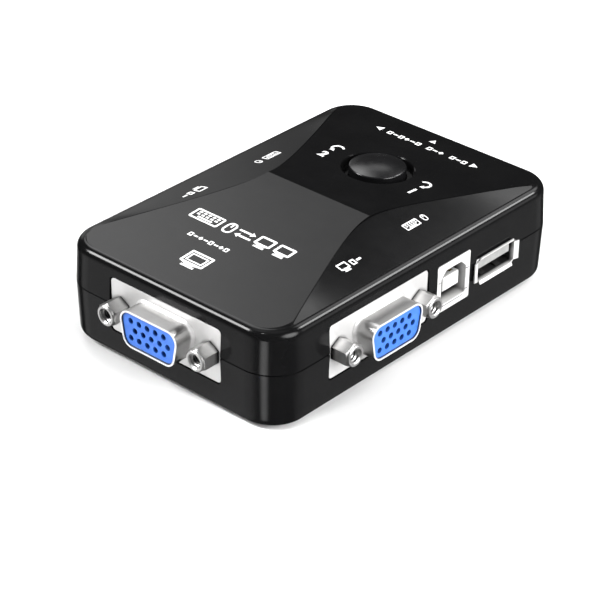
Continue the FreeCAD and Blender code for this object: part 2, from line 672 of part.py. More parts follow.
def switch_body():
    housing = box(-SWITCH_HALF, SWITCH_HALF, BUTTON_Y - SWITCH_HALF, BUTTON_Y + SWITCH_HALF,
                  BOARD_TOP + STAND, SWITCH_TOP)
    upright = [e for e in housing.Edges if e.BoundBox.ZLength > 6]
    housing = housing.makeFillet(0.4, upright)
    half = PLUNGER_HALF + 0.1
    well = box(-half, half, BUTTON_Y - half, BUTTON_Y + half, PLUNGER_LOW - TRAVEL - 0.3, SWITCH_TOP + 1)
    return housing.cut(well)


def switch_legs():
    legs = []
    for y in SWITCH_LEGS_Y:
        for x in (-LEG_X, LEG_X):
            legs.append(box(x - 0.3, x + 0.3, BUTTON_Y + y - 0.4, BUTTON_Y + y + 0.4,
                            BOARD_TOP - BOARD_T - LEAD_DROP, BOARD_TOP + 2))
    return Part.makeCompound(legs)


def switch_plunger():
    plunger = box(-PLUNGER_HALF, PLUNGER_HALF, BUTTON_Y - PLUNGER_HALF, BUTTON_Y + PLUNGER_HALF,
                  PLUNGER_LOW, PLUNGER_TOP)
    return plunger.makeChamfer(0.3, [e for e in plunger.Edges if e.BoundBox.ZMin > PLUNGER_TOP - 0.1])


def return_spring():
    low = SWITCH_TOP + SPRING_WIRE_R + 0.05
    height = CAP_ROOF - SPRING_WIRE_R - 0.05 - low
    path = Part.makeHelix(height / SPRING_TURNS, height, SPRING_R)
    ring = Part.Wire(Part.makeCircle(SPRING_WIRE_R, V(SPRING_R, 0, 0), V(0, 1, 0)))
    coil = Part.Wire(path.Edges).makePipeShell([ring], True, True)
    coil.translate(V(0, BUTTON_Y, low))
    return coil


# ---- circuit board and its parts ----

def board_hole(radius, x, y):
    return cylinder(radius, V(x, y, BOARD_TOP - BOARD_T - 1), V(x, y, BOARD_TOP + 1))


def lead_holes():
    """Board holes for every lead and tail that passes through the board."""
    holes = []
    for _, angle, along in VGA_PORTS:
        for row, y, _ in pin_places():
            holes.append(place(board_hole(PIN_R + HOLE_GAP, tail_x(row), y), angle, along))
    for _, angle, along in USB_B_PORTS:
        for x in (-B_DEPTH - 0.35, -B_DEPTH - 1.95):
            for y in (-B_CONTACT_Y, B_CONTACT_Y):
                holes.append(place(board_hole(0.5, x, y), angle, along))
    for _, angle, along in USB_A_PORTS:
        for y in A_CONTACTS_Y:
            holes.append(place(board_hole(0.5, -A_DEPTH - 1.6, y), angle, along))
    for y in SWITCH_LEGS_Y:
        for x in (-LEG_X, LEG_X):
            holes.append(board_hole(0.62, x, BUTTON_Y + y))
    for x, y in corner_points(SCREW_X, SCREW_Y):
        holes.append(board_hole(1.6, x, y))
    return holes


def circuit_board():
    outline = plan_outline(BOARD_HALF_W, BOARD_HALF_L, 5, BOARD_TOP - BOARD_T)
    return pad(outline, V(0, 0, BOARD_T)).cut(lead_holes())


def chip(half_w, half_l, height, pins_per_side, pitch, four_sides):
    """Flat package with leads that stand on the board."""
    base = BOARD_TOP + 0.15
    shapes = [box(-half_w, half_w, -half_l, half_l, base, base + height)]
    for i in range(pins_per_side):
        offset = (i - (pins_per_side - 1) / 2) * pitch
        lead = box(half_w - 0.1, half_w + 1, offset - LEAD_HALF_W, offset + LEAD_HALF_W,
                   BOARD_TOP + STAND, base + 0.35)
        for turn in ((0, 90, 180, 270) if four_sides else (0, 180)):
            shapes.append(lead.rotated(V(0, 0, 0), V(0, 0, 1), turn))
    return fused(shapes)


def control_chip():
    return chip(5.0, 5.0, 1.4, 11, 0.8, True).translated(V(0, CONTROL_CHIP_Y, 0))


def video_switch_chips():
    body = chip(2.0, 5.0, 1.6, 8, 1.27, False)
    return Part.makeCompound([body.translated(V(x, VIDEO_CHIP_Y, 0)) for x in (-VIDEO_CHIP_X, VIDEO_CHIP_X)])


def capacitors():
    cans = []
    for x in (-CAN_X, CAN_X):
        for y in CANS_Y:
            can = cylinder(CAN_R, V(x, y, BOARD_TOP + STAND), V(x, y, BOARD_TOP + CAN_H))
            top = [e for e in can.Edges if e.BoundBox.ZMin > BOARD_TOP + CAN_H - 0.1 and len(e.Vertexes) == 1]
            cans.append(can.makeFillet(0.4, top))
    return Part.makeCompound(cans)


def chip_resistors():
    parts = []
    for row in range(3):
        for column in range(8):
            x = (column - 3.5) * RESISTOR_PITCH_X
            y = RESISTOR_Y - row * RESISTOR_PITCH_Y
            parts.append(box(x - 0.4, x + 0.4, y - 0.8, y + 0.8, BOARD_TOP + STAND, BOARD_TOP + 0.5))
    return Part.makeCompound(parts)


def crystal():
    can = pad(plan_outline(1.9, 5.0, 1.85, BOARD_TOP + 0.1), V(0, 0, 3.4))
    return can.translated(V(0, CRYSTAL_Y, 0))


# ---- export ----

def export(node, shape):
    moved = shape.copy()
    moved.translate(TO_ROW)
    moved.exportStep("parts/%s.step" % node)
    print("%-24s solids %2d  valid %s" % (node, len(moved.Solids), moved.isValid()))


def main():
    os.makedirs("parts", exist_ok=True)
    for part in (top_shell, bottom_shell, case_screws, rubber_feet, circuit_board):
        export(part.__name__, part())
    families = (
        (VGA_PORTS, {"vga_shell": vga_shell(), "vga_insert": vga_insert(), "vga_base": vga_base(),
                     "vga_contacts": vga_contacts(), "vga_jack_posts": vga_posts(),
                     "vga_brackets": vga_brackets()}),
        (USB_B_PORTS, {"usb_b_shell": usb_b_shell(), "usb_b_core": usb_b_core(),
                       "usb_b_contacts": usb_b_contacts()}),
        (USB_A_PORTS, {"usb_a_shell": usb_a_shell(), "usb_a_core": usb_a_core(),
                       "usb_a_contacts": usb_a_contacts()}),
    )
    for ports, pieces in families:
        for side, angle, along in ports:
            for piece, shape in pieces.items():
                export("%s_%s" % (piece, side), place(shape, angle, along))
    for part in (button_cap, switch_body, switch_legs, switch_plunger, return_spring,
                 control_chip, video_switch_chips, crystal, capacitors, chip_resistors):
        export(part.__name__, part())


main()
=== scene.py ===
import json
import math

import bmesh
import bpy
from mathutils import Matrix, Vector
from mathutils.bvhtree import BVHTree


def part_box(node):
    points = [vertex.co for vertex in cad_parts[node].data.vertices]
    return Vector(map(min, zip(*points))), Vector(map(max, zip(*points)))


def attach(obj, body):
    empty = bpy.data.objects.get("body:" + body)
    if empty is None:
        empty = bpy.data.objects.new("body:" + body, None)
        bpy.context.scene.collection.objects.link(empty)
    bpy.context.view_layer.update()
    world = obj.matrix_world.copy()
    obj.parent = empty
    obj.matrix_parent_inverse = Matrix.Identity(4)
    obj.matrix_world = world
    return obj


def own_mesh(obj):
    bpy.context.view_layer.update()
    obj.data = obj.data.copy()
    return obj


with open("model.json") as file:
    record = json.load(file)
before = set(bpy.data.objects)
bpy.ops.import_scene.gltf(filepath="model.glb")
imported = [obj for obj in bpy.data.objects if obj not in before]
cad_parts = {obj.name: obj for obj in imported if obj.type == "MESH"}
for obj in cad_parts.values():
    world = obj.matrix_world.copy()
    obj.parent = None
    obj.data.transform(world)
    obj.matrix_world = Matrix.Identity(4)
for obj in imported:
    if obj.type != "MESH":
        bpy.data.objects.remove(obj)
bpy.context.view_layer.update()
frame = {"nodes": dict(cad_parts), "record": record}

nodes = frame["nodes"]
MM = 0.001
CASE_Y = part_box("bottom_shell")[0].y / 2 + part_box("bottom_shell")[1].y / 2    # middle of the case

# ---- camera ----

AZIMUTH = math.radians(41.344)
ELEVATION = math.radians(31.069)
ROLL = math.radians(0.874)
DISTANCE = 0.49315
TARGET = Vector((0.00135, -0.00435, 0.00354))
LENS_MM = 138.85
SENSOR_MM = 36.0


def add_camera():
    back = Vector((math.sin(AZIMUTH) * math.cos(ELEVATION), -math.cos(AZIMUTH) * math.cos(ELEVATION),
                   math.sin(ELEVATION)))
    level = Vector((math.cos(AZIMUTH), math.sin(AZIMUTH), 0))
    upright = back.cross(level)
    right = level * math.cos(ROLL) + upright * math.sin(ROLL)
    up = upright * math.cos(ROLL) - level * math.sin(ROLL)
    camera = bpy.data.objects.new("camera", bpy.data.cameras.new("camera"))
    camera.data.lens = LENS_MM
    camera.data.sensor_width = SENSOR_MM
    camera.data.clip_start = 0.01
    bpy.context.scene.collection.objects.link(camera)
    turn = Matrix((right, up, back)).transposed().to_4x4()
    camera.matrix_world = Matrix.Translation(TARGET + back * DISTANCE) @ turn
    bpy.context.scene.camera = camera


# ---- light and floor ----

# Soft studio panels in the surroundings: azimuth (0 is +X, 90 is +Y) and elevation of the middle, radius
# of the even part, radius where it fades out, all in degrees, and brightness. Those below the horizon are
# only mirrored, in the walls and the connectors, because the floor hides them from everything else.
PANELS = (
    (151, 52, 4, 17, 4.5),      # behind and left of the case, above
    (147, 37, 4, 13, 3.2),
    (151, 12, 6, 16, 0.95),
    (127, 35, 2, 8, 1.5),       # behind
    (94, 44, 8, 15, 4.6),
    (205, 68, 4, 17, 1.2),      # left, high
    (218, 39, 6, 12, 44.0),     # left, a strip for the front edge
    (64, 42, 5, 10, 27.0),      # right, a narrow strip for the side edge
    (46, 16, 4, 14, 2.2),
    (2, 26, 8, 26, 14.0),       # right
    (0, 90, 10, 26, 0.6),       # overhead
    (229, -31, 14, 34, 0.9),    # low, for the front wall
    (288, -31, 3, 13, 6.5),     # low, a narrow strip for the near corner
    (49, -31, 14, 34, 0.45),    # low, for the right wall
    (139, -31, 14, 34, 0.5),    # low, behind
)
SURROUNDINGS = 0.03
POOL_FROM = Vector((0.03, -0.22, 0.28))
POOL_AT = Vector((0.028, -0.070, 0))
POOL_W = 24.0
POOL_ANGLE = math.radians(8)
POOL_LAMP_R = 0.02


def direction(azimuth, elevation):
    a = math.radians(azimuth)
    e = math.radians(elevation)
    return Vector((math.cos(a) * math.cos(e), math.sin(a) * math.cos(e), math.sin(e)))


def add_world():
    """Dim surroundings with soft bright panels."""
    world = bpy.data.worlds.new("studio")
    bpy.context.scene.world = world
    world.use_nodes = True
    tree = world.node_tree
    towards = tree.nodes.new("ShaderNodeTexCoord").outputs["Generated"]
    total = None
    for azimuth, elevation, inner, outer, brightness in PANELS:
        dot = tree.nodes.new("ShaderNodeVectorMath")
        dot.operation = "DOT_PRODUCT"
        dot.inputs[1].default_value = direction(azimuth, elevation)
        tree.links.new(towards, dot.inputs[0])
        fade = tree.nodes.new("ShaderNodeMapRange")
        fade.interpolation_type = "SMOOTHSTEP"
        fade.inputs["From Min"].default_value = math.cos(math.radians(outer))
        fade.inputs["From Max"].default_value = math.cos(math.radians(inner))
        fade.inputs["To Max"].default_value = brightness
        tree.links.new(dot.outputs["Value"], fade.inputs["Value"])
        add = tree.nodes.new("ShaderNodeMath")
        add.inputs[1].default_value = SURROUNDINGS
        tree.links.new(fade.outputs[0], add.inputs[0])
        if total is not None:
            tree.links.new(total, add.inputs[1])
        total = add.outputs[0]
    tree.links.new(total, tree.nodes["Background"].inputs["Strength"])
    tree.nodes["Background"].inputs["Color"].default_value = (1, 1, 1, 1)


def add_pool():
    """Soft pool of light on the floor in front of the near corner."""
    light = bpy.data.lights.new("pool", "SPOT")
    light.energy = POOL_W
    light.spot_size = POOL_ANGLE
    light.spot_blend = 1.0
    light.shadow_soft_size = POOL_LAMP_R
    lamp = bpy.data.objects.new("pool", light)
    lamp.location = POOL_FROM
    lamp.rotation_euler = (POOL_AT - POOL_FROM).to_track_quat("-Z", "Y").to_euler()
    bpy.context.scene.collection.objects.link(lamp)


FLOOR_HALF = 3.0       # half the floor's width, in metres


def add_floor():
    mesh = bpy.data.meshes.new("floor")
    corners = [(x * FLOOR_HALF, y * FLOOR_HALF, 0) for x, y in ((-1, -1), (1, -1), (1, 1), (-1, 1))]
    mesh.from_pydata(corners, [], [(0, 1, 2, 3)])
    floor = bpy.data.objects.new("floor", mesh)
    bpy.context.scene.collection.objects.link(floor)
    paper = Finish("floor_paper", base=(0.86, 0.86, 0.86), roughness=0.9)
    mesh.materials.append(paper.material)
    floor.visible_glossy = False    # a gloss black case would mirror the white floor and look grey


# ---- materials ----

PORT_X = 29.96         # port planes on the two sides and, from the case's middle, on the two ends
PORT_Y = 45.46
SLEEVE_START = 0.5     # from that plane: where a sleeve's own finish begins, where it is full,
SLEEVE_FULL = 1.0
RIM_HIGHLIGHT_START = 4.75       # and where the painted highlight on the turned edge at its front begins and is full
RIM_HIGHLIGHT_FULL = 4.85
HOLLOW_SAMPLES = 24


class Finish:
    """A principled material whose colour, roughness and relief come from textures at real scale."""

    def __init__(self, name, base, roughness, metallic=0.0, specular=0.5):
        self.material = bpy.data.materials.new(name)
        self.material.use_nodes = True
        self.tree = self.material.node_tree
        self.shader = self.tree.nodes["Principled BSDF"]
        self.shader.inputs["Base Color"].default_value = (*base, 1)
        self.shader.inputs["Roughness"].default_value = roughness
        self.shader.inputs["Metallic"].default_value = metallic
        self.shader.inputs["Specular IOR Level"].default_value = specular
        self.coords = self.tree.nodes.new("ShaderNodeTexCoord").outputs["Object"]
        self.relief = None

    def link(self, source, node, socket):
        self.tree.links.new(source, node.inputs[socket])

    def stretched(self, stretch):
        """Coordinates scaled along each axis, for grain with a direction."""
        mapping = self.tree.nodes.new("ShaderNodeMapping")
        mapping.inputs["Scale"].default_value = stretch
        self.link(self.coords, mapping, "Vector")
        return mapping.outputs[0]

    def noise(self, size_mm, detail=2.0, stretch=None):
        """Noise whose features measure about size_mm."""
        texture = self.tree.nodes.new("ShaderNodeTexNoise")
        texture.inputs["Scale"].default_value = 1 / (size_mm * MM)
        texture.inputs["Detail"].default_value = detail
        self.link(self.stretched(stretch) if stretch else self.coords, texture, "Vector")
        return texture.outputs["Fac"]

    def ranged(self, source, low, high, start=0.3, end=0.7):
        node = self.tree.nodes.new("ShaderNodeMapRange")
        node.inputs["From Min"].default_value = start
        node.inputs["From Max"].default_value = end
        node.inputs["To Min"].default_value = low
        node.inputs["To Max"].default_value = high
        self.link(source, node, "Value")
        return node.outputs[0]

    def tint(self, source, low, high, start=0.35, end=0.65):
        """Link a base colour that runs from low to high with a texture."""
        ramp = self.tree.nodes.new("ShaderNodeValToRGB")
        ramp.color_ramp.elements[0].position = start
        ramp.color_ramp.elements[0].color = (*low, 1)
        ramp.color_ramp.elements[1].position = end
        ramp.color_ramp.elements[1].color = (*high, 1)
        self.link(source, ramp, "Fac")
        self.link(ramp.outputs[0], self.shader, "Base Color")

    def shade_hollows(self, reach_mm, start, end, darkest=0.0):
        """Darken the colour in holes and along inner corners: painted shade."""
        hollow = self.tree.nodes.new("ShaderNodeAmbientOcclusion")
        hollow.samples = HOLLOW_SAMPLES
        hollow.inputs["Distance"].default_value = reach_mm * MM
        self.scale_colour(self.ranged(hollow.outputs["AO"], darkest, 1.0, start, end))

    def past_ports(self):
        """Distance in front of the port plane, in metres: negative inside the case."""
        parts = self.tree.nodes.new("ShaderNodeSeparateXYZ")
        self.link(self.coords, parts, "Vector")
        reach = []
        for axis, middle, plane in (("X", 0.0, PORT_X), ("Y", CASE_Y, PORT_Y)):
            offset = self.calc("SUBTRACT", parts.outputs[axis], middle)
            reach.append(self.calc("SUBTRACT", self.calc("ABSOLUTE", offset, 0.0), plane * MM))
        return self.calc("MAXIMUM", reach[0], reach[1])

    def calc(self, operation, first, second):
        node = self.tree.nodes.new("ShaderNodeMath")
        node.operation = operation
        for socket, value in zip(node.inputs, (first, second)):
            if isinstance(value, float):
                socket.default_value = value
            else:
                self.tree.links.new(value, socket)
        return node.outputs[0]

    def scale_colour(self, factor):
        """Multiply the base colour, which is already linked, by a factor."""
        scale = self.tree.nodes.new("ShaderNodeVectorMath")
        scale.operation = "SCALE"
        self.link(self.shader.inputs["Base Color"].links[0].from_socket, scale, "Vector")
        self.link(factor, scale, "Scale")
        self.link(scale.outputs[0], self.shader, "Base Color")

    def rough(self, source, low, high, start=0.3, end=0.7):
        self.link(self.ranged(source, low, high, start, end), self.shader, "Roughness")

    def bump(self, source, depth_mm, strength=1.0):
        node = self.tree.nodes.new("ShaderNodeBump")
        node.inputs["Distance"].default_value = depth_mm * MM
        node.inputs["Strength"].default_value = strength
        self.link(source, node, "Height")
        if self.relief is not None:
            self.link(self.relief, node, "Normal")
        self.relief = node.outputs[0]
        self.link(self.relief, self.shader, "Normal")


def case_plastic():
    finish = Finish("case_plastic", base=(0.004, 0.004, 0.0042), roughness=0.14, specular=0.15)
    finish.tint(finish.noise(9.0, 3), (0.0036, 0.0036, 0.0038), (0.0046, 0.0046, 0.0048))
    finish.rough(finish.noise(2.5, 4), 0.13, 0.16)
    finish.bump(finish.noise(0.5, 3), 0.001, 0.1)
    return finish.material


def button_plastic():
    finish = Finish("button_plastic", base=(0.006, 0.006, 0.0065), roughness=0.2, specular=0.35)
    finish.tint(finish.noise(3.0, 3), (0.005, 0.005, 0.0053), (0.007, 0.007, 0.0075))
    finish.rough(finish.noise(1.2, 4), 0.18, 0.23)
    finish.bump(finish.noise(0.25, 3), 0.0015, 0.3)
    return finish.material


def nickel_plate():
    """Plated sheet of the VGA sockets: satin on the flange, smoother and darker on the drawn sleeve."""
    finish = Finish("nickel_plate", base=(0.68, 0.675, 0.67), roughness=0.42, metallic=0.45)
    finish.tint(finish.noise(4.0, 3), (0.65, 0.645, 0.64), (0.71, 0.705, 0.70))
    depth = finish.past_ports()
    drawn = finish.ranged(depth, 0.0, 1.0, SLEEVE_START * MM, SLEEVE_FULL * MM)
    # Painted highlight on the sleeve's turned front edge: there the colour is made lighter and the metal
    # less metallic.
    rim_highlight = finish.ranged(depth, 0.0, 1.0, RIM_HIGHLIGHT_START * MM, RIM_HIGHLIGHT_FULL * MM)
    darker = finish.ranged(drawn, 1.0, 0.52, 0.0, 1.0)
    finish.scale_colour(finish.calc("ADD", darker, finish.calc("MULTIPLY", rim_highlight, 0.7)))
    # Painted shade: the colour falls to 3 % behind the port plane, inside the case, and darkens in hollows.
    finish.scale_colour(finish.ranged(depth, 0.03, 1.0, -1.0 * MM, -0.1 * MM))
    finish.shade_hollows(1.4, 0.25, 0.80, 0.08)
    metal = finish.ranged(drawn, 0.45, 0.97, 0.0, 1.0)
    finish.link(finish.calc("SUBTRACT", metal, finish.calc("MULTIPLY", rim_highlight, 0.5)), finish.shader, "Metallic")
    worn = finish.ranged(finish.noise(1.2, 3), -0.03, 0.03)
    smoother = finish.ranged(drawn, 0.42, 0.34, 0.0, 1.0)
    finish.link(finish.calc("ADD", worn, smoother), finish.shader, "Roughness")
    finish.bump(finish.noise(1.0, 2, (1.0, 1.0, 3.0)), 0.0005, 0.1)
    return finish.material


def usb_nickel(name, full_shade_at, no_shade_at):
    """Plated sheet of a USB socket, with painted shade deep inside that fades out towards the front, between
    two distances from the port plane.
    """
    finish = Finish(name, base=(0.80, 0.795, 0.79), roughness=0.4, metallic=0.35)
    finish.tint(finish.noise(4.0, 3), (0.78, 0.775, 0.77), (0.83, 0.825, 0.82))
    # Painted shade: the colour falls to 3 % deep in the socket, and darkens in hollows.
    finish.scale_colour(finish.ranged(finish.past_ports(), 0.03, 1.0, full_shade_at * MM, no_shade_at * MM))
    finish.shade_hollows(2.4, 0.35, 0.85, 0.04)
    finish.rough(finish.noise(1.2, 3), 0.36, 0.44)
    finish.bump(finish.noise(1.0, 2, (1.0, 1.0, 3.0)), 0.0005, 0.2)
    return finish.material


def post_nickel():
    finish = Finish("post_nickel", base=(0.62, 0.615, 0.61), roughness=0.33, metallic=0.95)
    finish.tint(finish.noise(2.0, 3), (0.60, 0.595, 0.59), (0.70, 0.695, 0.69))
    # Painted shade in the bore and along inner corners.
    finish.shade_hollows(1.6, 0.52, 0.90, 0.01)
    finish.rough(finish.noise(0.8, 3), 0.30, 0.38)
    finish.bump(finish.noise(0.3, 2), 0.001, 0.3)
    return finish.material


def blue_plastic():
    finish = Finish("blue_plastic", base=(0.038, 0.155, 0.60), roughness=0.4)
    finish.tint(finish.noise(2.0, 3), (0.034, 0.145, 0.575), (0.042, 0.166, 0.625))
    # Painted shade in the pin holes and along inner corners.
    finish.shade_hollows(1.2, 0.50, 0.82)
    finish.rough(finish.noise(0.8, 3), 0.36, 0.46)
    finish.bump(finish.noise(0.2, 2), 0.004, 0.4)
    return finish.material


def white_plastic():
    finish = Finish("white_plastic", base=(0.66, 0.66, 0.65), roughness=0.4)
    finish.tint(finish.noise(2.5, 3), (0.63, 0.63, 0.62), (0.69, 0.69, 0.68))
    # Painted shade: the colour falls to 4 % from 0.4 to 2.6 mm behind the port plane, and darkens in
    # hollows.
    finish.scale_colour(finish.ranged(finish.past_ports(), 0.04, 1.0, -2.6 * MM, -0.4 * MM))
    finish.shade_hollows(2.0, 0.25, 0.70, 0.10)
    finish.rough(finish.noise(0.8, 3), 0.34, 0.46)
    finish.bump(finish.noise(0.2, 2), 0.004, 0.4)
    return finish.material


def tongue_plastic():
    """White insulator of the flat sockets, painted a darker grey as shade."""
    finish = Finish("tongue_plastic", base=(0.27, 0.27, 0.265), roughness=0.45)
    finish.tint(finish.noise(1.5, 3), (0.25, 0.25, 0.245), (0.30, 0.30, 0.295))
    # Painted shade: darker still behind the port plane and in hollows.
    finish.scale_colour(finish.ranged(finish.past_ports(), 0.06, 1.0, -2.0 * MM, 0.0))
    finish.shade_hollows(1.5, 0.25, 0.70, 0.10)
    finish.rough(finish.noise(0.8, 3), 0.38, 0.50)
    finish.bump(finish.noise(0.2, 2), 0.004, 0.4)
    return finish.material


def contact_gold():
    finish = Finish("contact_gold", base=(0.85, 0.62, 0.25), roughness=0.25, metallic=1.0)
    finish.tint(finish.noise(0.8, 3), (0.80, 0.56, 0.22), (0.90, 0.68, 0.30))
    finish.rough(finish.noise(0.3, 3), 0.2, 0.34)
    return finish.material


def board_laminate():
    finish = Finish("board_laminate", base=(0.02, 0.12, 0.04), roughness=0.4)
    finish.tint(finish.noise(1.2, 3), (0.016, 0.10, 0.035), (0.026, 0.14, 0.050))
    finish.bump(finish.noise(0.5, 2), 0.01, 0.4)
    return finish.material


def chip_plastic():
    finish = Finish("chip_plastic", base=(0.02, 0.02, 0.02), roughness=0.6)
    finish.tint(finish.noise(0.4, 3), (0.016, 0.016, 0.016), (0.028, 0.028, 0.028))
    finish.bump(finish.noise(0.15, 2), 0.01, 0.5)
    return finish.material


def can_aluminium():
    finish = Finish("can_aluminium", base=(0.75, 0.75, 0.76), roughness=0.3, metallic=1.0)
    finish.rough(finish.noise(0.3, 3, (1.0, 1.0, 0.1)), 0.24, 0.4)
    return finish.material


def screw_steel():
    finish = Finish("screw_steel", base=(0.35, 0.35, 0.36), roughness=0.35, metallic=1.0)
    finish.tint(finish.noise(0.8, 3), (0.28, 0.28, 0.29), (0.42, 0.42, 0.43))
    finish.rough(finish.noise(0.4, 3), 0.28, 0.45)
    return finish.material


def spring_steel():
    finish = Finish("spring_steel", base=(0.6, 0.6, 0.6), roughness=0.3, metallic=1.0)
    finish.rough(finish.noise(0.3, 3), 0.25, 0.4)
    return finish.material


def foot_rubber():
    finish = Finish("foot_rubber", base=(0.02, 0.02, 0.02), roughness=0.8, specular=0.3)
    finish.tint(finish.noise(1.0, 3), (0.016, 0.016, 0.016), (0.028, 0.028, 0.028))
    finish.bump(finish.noise(0.3, 3), 0.02, 0.6)
    return finish.material


def white_ink():
    finish = Finish("white_ink", base=(0.85, 0.85, 0.85), roughness=0.5)
    finish.tint(finish.noise(0.8, 3), (0.76, 0.76, 0.76), (0.88, 0.88, 0.88))
    finish.rough(finish.noise(0.3, 3), 0.42, 0.6)
    finish.bump(finish.noise(0.12, 2), 0.004, 0.5)
    return finish.material


def dress_nodes():
    """Give each CAD node the material of its slot, or a finer version of it on the posts and USB sockets."""
    makers = (case_plastic, button_plastic, nickel_plate, blue_plastic, white_plastic, contact_gold,
              board_laminate, chip_plastic, can_aluminium, screw_steel, spring_steel, foot_rubber)
    materials = {make.__name__: make() for make in makers}
    for entry in frame["record"]["subparts"]:
        mesh = nodes[entry["node"]].data
        mesh.materials.clear()
        mesh.materials.append(materials[entry["material_slot"]])
    materials["post_nickel"] = post_nickel()
    for port in ("front", "right", "left"):
        nodes["vga_jack_posts_" + port].data.materials[0] = materials["post_nickel"]
    # The flat sockets' cores get the white insulator painted darker as shade.
    tongue = tongue_plastic()
    flat_shell = usb_nickel("usb_a_nickel", full_shade_at=-0.4, no_shade_at=0.45)
    square_shell = usb_nickel("usb_b_nickel", full_shade_at=-1.2, no_shade_at=-0.2)
    for port in ("rear", "right", "left"):
        nodes["usb_a_core_" + port].data.materials[0] = tongue
        nodes["usb_a_shell_" + port].data.materials[0] = flat_shell
    for port in ("right", "left"):
        nodes["usb_b_shell_" + port].data.materials[0] = square_shell
    return materials


def shorten_spring():
    """Give the return spring a mesh of its own; nothing here shortens it."""
    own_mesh(nodes["return_spring"])


# ---- printed marks: flat outlines in millimetres, laid on the roof ----

INK_HALF_T = 0.025     # half thickness of the ink
INK_LIFT = 0.012       # how far the middle of the ink stands above the roof


def bar(x, y, width, height):
    return [(x - width / 2, y - height / 2), (x + width / 2, y - height / 2),
            (x + width / 2, y + height / 2), (x - width / 2, y + height / 2)]


def arc(x, y, radius, start, end, steps=16):
    """Points on a circle from one angle to another, in degrees."""
    turns = [math.radians(start + (end - start) * i / steps) for i in range(steps + 1)]
    return [(x + radius * math.cos(turn), y + radius * math.sin(turn)) for turn in turns]


def rounded(x, y, width, height, radius):
    points = []
    for i, (sx, sy) in enumerate(((1, 1), (-1, 1), (-1, -1), (1, -1))):
        middle_x = x + sx * (width / 2 - radius)
        middle_y = y + sy * (height / 2 - radius)
        points += arc(middle_x, middle_y, radius, 90 * i, 90 * i + 90, 5)
    return points


def frame_line(x, y, width, height, radius, line):
    """Outline of a rounded rectangle, drawn with a line of the given width."""
    inner = max(radius - line, 0.05)
    return [rounded(x, y, width, height, radius), rounded(x, y, width - 2 * line, height - 2 * line, inner)]


def monitor(x, y, size):
    """Screen with a double outline on a stand."""
    marks = frame_line(x, y + 0.10 * size, size, 0.70 * size, 0.06 * size, 0.085 * size)
    marks += frame_line(x, y + 0.10 * size, 0.72 * size, 0.42 * size, 0.03 * size, 0.06 * size)
    marks.append(bar(x, y - 0.30 * size, 0.18 * size, 0.12 * size))
    marks.append(bar(x, y - 0.40 * size, 0.56 * size, 0.09 * size))
    return marks


def small_monitor(x, y, size):
    """Screen with one heavy outline, for the smaller marks."""
    marks = frame_line(x, y + 0.10 * size, size, 0.72 * size, 0.09 * size, 0.13 * size)
    marks.append(bar(x, y - 0.33 * size, 0.22 * size, 0.16 * size))
    marks.append(bar(x, y - 0.44 * size, 0.62 * size, 0.12 * size))
    return marks


def keyboard(x, y, size):
    marks = frame_line(x, y, size, 0.46 * size, 0.06 * size, 0.06 * size)
    for row in (0.105, 0.0):
        for i in range(5):
            marks.append(bar(x + (i - 2) * 0.158 * size, y + row * size, 0.10 * size, 0.062 * size))
    marks.append(bar(x, y - 0.105 * size, 0.50 * size, 0.062 * size))
    return marks


def mouse(x, y, size):
    marks = frame_line(x, y, 0.66 * size, size, 0.32 * size, 0.12 * size)
    marks.append(bar(x, y + 0.20 * size, 0.11 * size, 0.26 * size))
    return marks


def sign_row(x, y, height, signs):
    """Row of plain signs: s a square, d a diamond, b a bar, a space a gap."""
    pitch = 0.95 * height
    start = x - pitch * (len(signs) - 1) / 2
    marks = []
    for i, sign in enumerate(signs):
        middle = start + i * pitch
        if sign == "s":
            marks += frame_line(middle, y, 0.72 * height, 0.86 * height, 0.08 * height, 0.19 * height)
        elif sign == "d":
            marks.append(arc(middle, y, 0.40 * height, 0, 270, 3))
        elif sign == "b":
            marks.append(bar(middle, y, 0.72 * height, 0.28 * height))
    return marks


def triangle(x, y, size, angle):
    return [arc(x, y, size, angle, angle + 240, 2)]


def double_arrow(x, y, size):
    marks = []
    for side in (1, -1):
        mid = y + side * 0.2 * size
        tip = x + side * 0.5 * size
        tail = x - side * 0.5 * size
        neck = tip - side * 0.26 * size
        half = 0.065 * size
        barb = 0.17 * size
        marks.append([(tail, mid - half), (neck, mid - half), (neck, mid - barb), (tip, mid),
                      (neck, mid + barb), (neck, mid + half), (tail, mid + half)])
    return marks


def turning_arrow(x, y, radius, start, end):
    """Curved arrow that runs round a centre from one angle to another."""
    line = 0.20 * radius
    band = arc(x, y, radius + line, start, end) + arc(x, y, radius - line, end, start)
    turn = math.radians(end)
    ahead = 1 if end > start else -1
    tip = (x + radius * math.cos(turn) - ahead * 0.75 * radius * math.sin(turn),
           y + radius * math.sin(turn) + ahead * 0.75 * radius * math.cos(turn))
    head = [tip] + [(x + r * math.cos(turn), y + r * math.sin(turn)) for r in (radius * 1.5, radius * 0.5)]
    return [band, head]


def outline_curve(name, contours):
    curve = bpy.data.curves.new(name, "CURVE")
    for points in contours:
        spline = curve.splines.new("POLY")
        spline.points.add(len(points) - 1)
        for point, (x, y) in zip(spline.points, points):
            point.co = (x, y, 0, 1)
        spline.use_cyclic_u = True
    return curve


def numeral_curve(name, digit, height):
    """A plain digit."""
    curve = bpy.data.curves.new(name, "FONT")
    curve.body = str(digit)
    curve.size = height * 1.4
    curve.align_x = "CENTER"
    curve.align_y = "CENTER"
    curve.offset = 0.045 * height
    return curve


def roof_caster():
    """Function that gives the height of the ink's middle on the roof at a place, in metres."""
    surface = BVHTree.FromObject(nodes["top_shell"], bpy.context.evaluated_depsgraph_get())

    def height(x, y):
        return surface.ray_cast(Vector((x, y, 1.0)), Vector((0, 0, -1)))[0].z + INK_LIFT * MM
    return height


